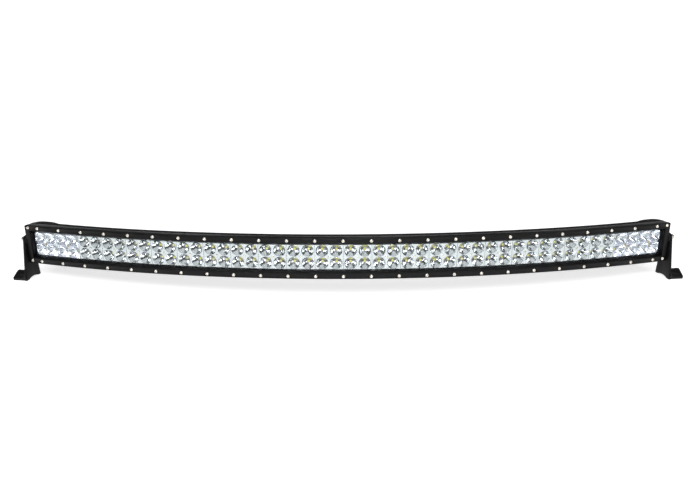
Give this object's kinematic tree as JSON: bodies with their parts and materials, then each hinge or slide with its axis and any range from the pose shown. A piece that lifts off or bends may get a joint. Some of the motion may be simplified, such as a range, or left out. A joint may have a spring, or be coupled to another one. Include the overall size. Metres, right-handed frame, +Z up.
{
  "type": "led light bar",
  "caption": "Curved two-row LED light bar in a finned aluminium housing, on two swivelling end brackets with slotted feet.",
  "frame": {"origin": "midway between the centres of the two foot slots, on the plane that the feet stand on", "axes": "+X along the bar to the viewer's right, the lamps shine towards -Y and 7.5 degrees upwards, +Z up from the feet"},
  "size_m": [1.3428, 0.1914, 0.1226],
  "materials": {
    "black_powder_coat": "satin powder coat over cast and extruded aluminium",
    "stainless": "plain stainless steel",
    "clear_lens": "clear polycarbonate sheet",
    "black_rubber": "matte silicone",
    "mirror_reflector": "vacuum-metallised, mirror bright",
    "satin_reflector": "pearl-white moulded reflector",
    "white_board": "white solder mask over an aluminium-core board",
    "grey_pad": "soft gap filler",
    "lamp_ceramic": "ceramic lamp base",
    "phosphor": "yellow phosphor under a clear dome",
    "green_board": "green solder mask",
    "ferrite": "sintered ferrite",
    "capacitor": "aluminium can",
    "red_lead": "insulated wire",
    "black_nylon": "moulded nylon",
    "white_membrane": "porous membrane"
  },
  "bodies": {
    "bar": {"housing": "black_powder_coat", "upper_rail": "black_powder_coat", "lower_rail": "black_powder_coat", "upper_rail_screws": "stainless", "lower_rail_screws": "stainless", "lens": "clear_lens", "lens_gasket": "black_rubber", "spot_reflectors": "mirror_reflector", "flood_reflectors": "satin_reflector", "reflector_screws": "stainless", "led_boards": "white_board", "thermal_pads": "grey_pad", "led_packages": "lamp_ceramic", "led_domes": "phosphor", "driver_boards": "green_board", "driver_pads": "grey_pad", "driver_inductors": "ferrite", "driver_capacitors": "capacitor", "supply_lead_positive": "red_lead", "supply_lead_negative": "black_rubber", "gland_body": "black_nylon", "gland_washer": "black_rubber", "gland_locknut": "black_nylon", "gland_seal": "black_rubber", "gland_nut": "black_nylon", "vent_plug": "black_nylon", "vent_ring": "black_rubber", "vent_membrane": "white_membrane", "right_end_cap": "black_powder_coat", "right_cap_gasket": "black_rubber", "right_cap_screws": "stainless", "right_pivot_bolt": "stainless", "right_friction_washer": "black_nylon", "right_flat_washer": "stainless", "right_spring_washer": "stainless", "left_end_cap": "black_powder_coat", "left_cap_gasket": "black_rubber", "left_cap_screws": "stainless", "left_pivot_bolt": "stainless", "left_friction_washer": "black_nylon", "left_flat_washer": "stainless", "left_spring_washer": "stainless"},
    "right_foot_bracket": {"right_bracket": "black_powder_coat"},
    "left_foot_bracket": {"left_bracket": "black_powder_coat"}
  },
  "joints": [
    {"name": "right_bracket_tilt", "type": "hinge", "parent": "bar", "child": "right_foot_bracket", "pos_m": [0.62648, 0.00654, 0.0776], "axis": [0.9466, 0.3196, -0.0421], "range_deg": [-30, 30]},
    {"name": "left_bracket_tilt", "type": "hinge", "parent": "bar", "child": "left_foot_bracket", "pos_m": [-0.62648, 0.00654, 0.0776], "axis": [0.9466, -0.3196, 0.0421], "range_deg": [-30, 30]}
  ]
}
